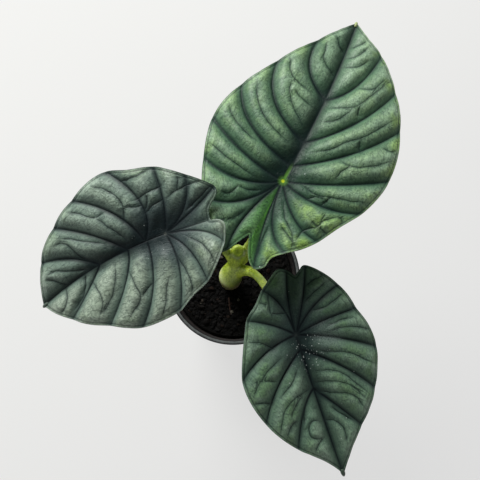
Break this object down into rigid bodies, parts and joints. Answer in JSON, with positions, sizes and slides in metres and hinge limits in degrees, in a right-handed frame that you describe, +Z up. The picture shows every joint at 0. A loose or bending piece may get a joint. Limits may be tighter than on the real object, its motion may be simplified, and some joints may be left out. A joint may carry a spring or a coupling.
{
  "type": "potted nebula alocasia",
  "caption": "Small potted aroid: quilted heart-shaped peltate leaves with dark sunken veins on pale green stalks, standing in dark mix in a round tapered pot.",
  "frame": {"origin": "centre of the pot's flat base, on the surface it stands on", "axes": "+Z up along the pot's axis; +Y towards the rear, where the largest leaf points; +X to the right seen from the front"},
  "size_m": [0.2287, 0.2999, 0.2445],
  "materials": {
    "pot_plastic": "satin black moulded plastic, lip slightly greyed",
    "potting_mix": "damp dark crumbly mix",
    "stem_skin": "smooth fleshy yellow-green sheath",
    "stalk_skin": "smooth fleshy light green",
    "blade_rear": "satin quilted leaf, mid green with dark sunken veins",
    "blade_left": "satin quilted leaf, grey-green with near black veins",
    "blade_front": "satin quilted leaf, darkest, with specks of dust"
  },
  "bodies": {
    "root": {"nursery_pot": "pot_plastic", "potting_mix": "potting_mix", "stem": "stem_skin", "petiole_1": "stalk_skin", "petiole_2": "stalk_skin", "petiole_3": "stalk_skin", "leaf_1": "blade_rear", "leaf_2": "blade_left", "leaf_3": "blade_front"}
  },
  "joints": []
}
